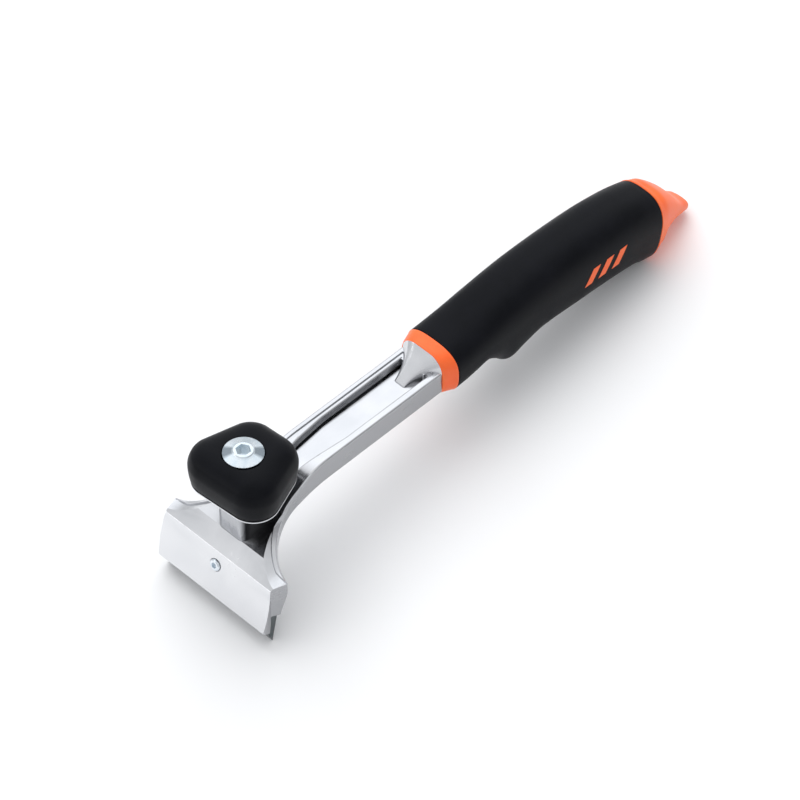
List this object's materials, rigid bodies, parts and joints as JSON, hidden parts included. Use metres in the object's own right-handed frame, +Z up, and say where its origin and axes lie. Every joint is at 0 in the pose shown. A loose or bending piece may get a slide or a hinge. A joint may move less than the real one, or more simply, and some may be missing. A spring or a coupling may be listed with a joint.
{
  "type": "paint scraper",
  "caption": "Two-handed pull scraper with a clamped carbide blade, cast metal head and shank, square front knob and long soft grip.",
  "frame": {"origin": "middle of the tool's footprint, on the surface that the cutting edge and the heel of the grip rest on", "axes": "+X along the tool from blade to tail, +Y across it to the left side, +Z up"},
  "size_m": [0.2951, 0.0696, 0.0806],
  "materials": {
    "cast_aluminium": "polished casting",
    "post_metal": "polished",
    "plated_steel": "bright zinc plating",
    "plate_steel": "dark steel with a bright edge",
    "clamp_steel": "plain steel",
    "blade_steel": "dark tool steel",
    "carbide": "ground carbide",
    "black_rubber": "soft-touch moulding",
    "black_plastic": "hard moulding",
    "orange_plastic": "satin moulding",
    "nylon": "natural"
  },
  "bodies": {
    "frame": {"scraper_body": "cast_aluminium", "clamp_guide_pins": "clamp_steel", "knob_post": "post_metal", "knob_thrust_washer": "nylon", "knob_nut_washer": "plated_steel", "knob_nut": "plated_steel", "tang_pins": "clamp_steel", "handle_core": "orange_plastic", "front_collar": "orange_plastic", "grip_mark": "orange_plastic", "grip_sleeve": "black_rubber", "end_cap": "orange_plastic"},
    "blade": {"blade_body": "blade_steel", "carbide_edge": "carbide"},
    "clamp": {"blade_clamp_bar": "clamp_steel"},
    "blade_screw": {"blade_screw": "plated_steel"},
    "knob": {"knob_base_plate": "plate_steel", "knob_core": "black_plastic", "knob_grip": "black_rubber"},
    "knob_bolt": {"knob_bolt": "plated_steel"}
  },
  "joints": [
    {"name": "knob_turn", "type": "hinge", "parent": "frame", "child": "knob", "pos_m": [-0.11751, 0, 0.0688], "axis": [0.1381, 0, 0.9904], "continuous": true},
    {"name": "knob_bolt_turn", "type": "hinge", "parent": "frame", "child": "knob_bolt", "pos_m": [-0.11751, 0, 0.0688], "axis": [0.1381, 0, 0.9904], "range_deg": [0, 1440]},
    {"name": "blade_screw_turn", "type": "hinge", "parent": "frame", "child": "blade_screw", "pos_m": [-0.14193, 0, 0.02451], "axis": [-0.9389, 0, 0.3443], "range_deg": [0, 720]},
    {"name": "clamp_release", "type": "slide", "parent": "frame", "child": "clamp", "axis": [0.9389, 0, -0.3443], "range_m": [0, 0.0014]},
    {"name": "blade_slide", "type": "slide", "parent": "frame", "child": "blade", "axis": [0, -1, 0], "range_m": [-0.07, 0.07]}
  ],
  "couplings": [
    {"joint": "blade_screw_turn", "follows": "clamp_release", "rad_per_m": 8976}
  ]
}
